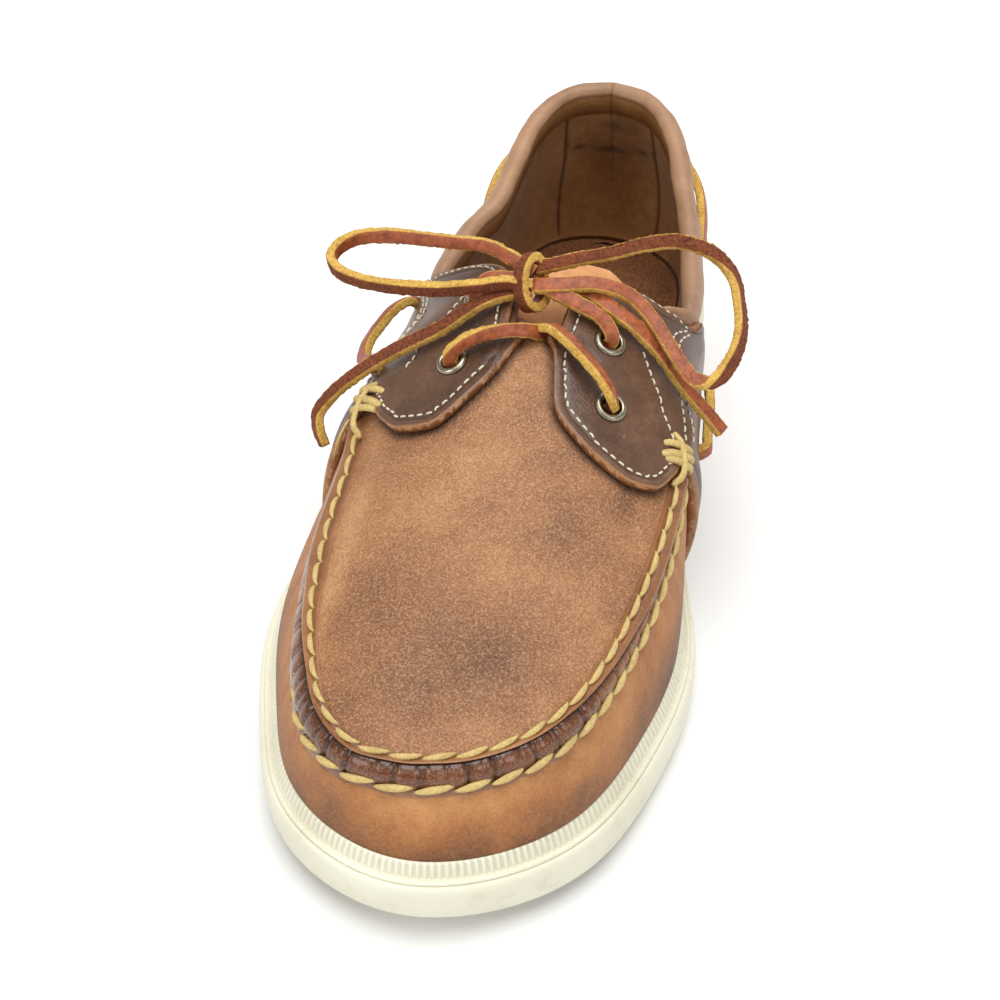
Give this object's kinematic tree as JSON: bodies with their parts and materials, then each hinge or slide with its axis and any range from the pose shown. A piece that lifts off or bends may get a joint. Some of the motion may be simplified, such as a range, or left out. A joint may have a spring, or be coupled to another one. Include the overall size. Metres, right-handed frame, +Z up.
{
  "type": "boat shoe",
  "caption": "Moccasin-toe leather boat shoe with dark saddle flaps, padded collar, rawhide lace in a bow and a pale rubber unit sole.",
  "frame": {"origin": "on the ground under the middle of the heel", "axes": "+Z up; the toe points to -Y; +X is the inner (medial) side of the foot"},
  "size_m": [0.1194, 0.2999, 0.0967],
  "materials": {
    "sole_rubber": "matt off-white moulded rubber",
    "insole_leather": "matt brown leather footbed",
    "tan_leather": "oiled tan leather, burnished and creased",
    "brown_leather": "oiled dark brown leather with raw edges",
    "collar_leather": "soft greyish tan leather over padding",
    "tongue_leather": "soft tan leather, rough side up",
    "eyelet_metal": "antique plated metal",
    "lace_rawhide": "square rawhide, smooth rust face and fuzzy cut sides"
  },
  "bodies": {
    "root": {"outsole": "sole_rubber", "insole": "insole_leather", "upper": "tan_leather", "saddle_medial": "brown_leather", "saddle_lateral": "brown_leather", "backstay": "tan_leather", "collar": "collar_leather", "tongue": "tongue_leather", "eyelet_medial_front": "eyelet_metal", "eyelet_medial_back": "eyelet_metal", "eyelet_lateral_front": "eyelet_metal", "eyelet_lateral_back": "eyelet_metal", "lace_crossing": "lace_rawhide", "lace_knot": "lace_rawhide", "lace_loop_lateral": "lace_rawhide", "lace_loop_medial": "lace_rawhide", "lace_end_lateral": "lace_rawhide", "lace_end_medial": "lace_rawhide", "lace_side_medial_front": "lace_rawhide", "lace_side_medial_back": "lace_rawhide", "lace_side_lateral_back": "lace_rawhide", "lace_side_lateral_front": "lace_rawhide"}
  },
  "joints": []
}
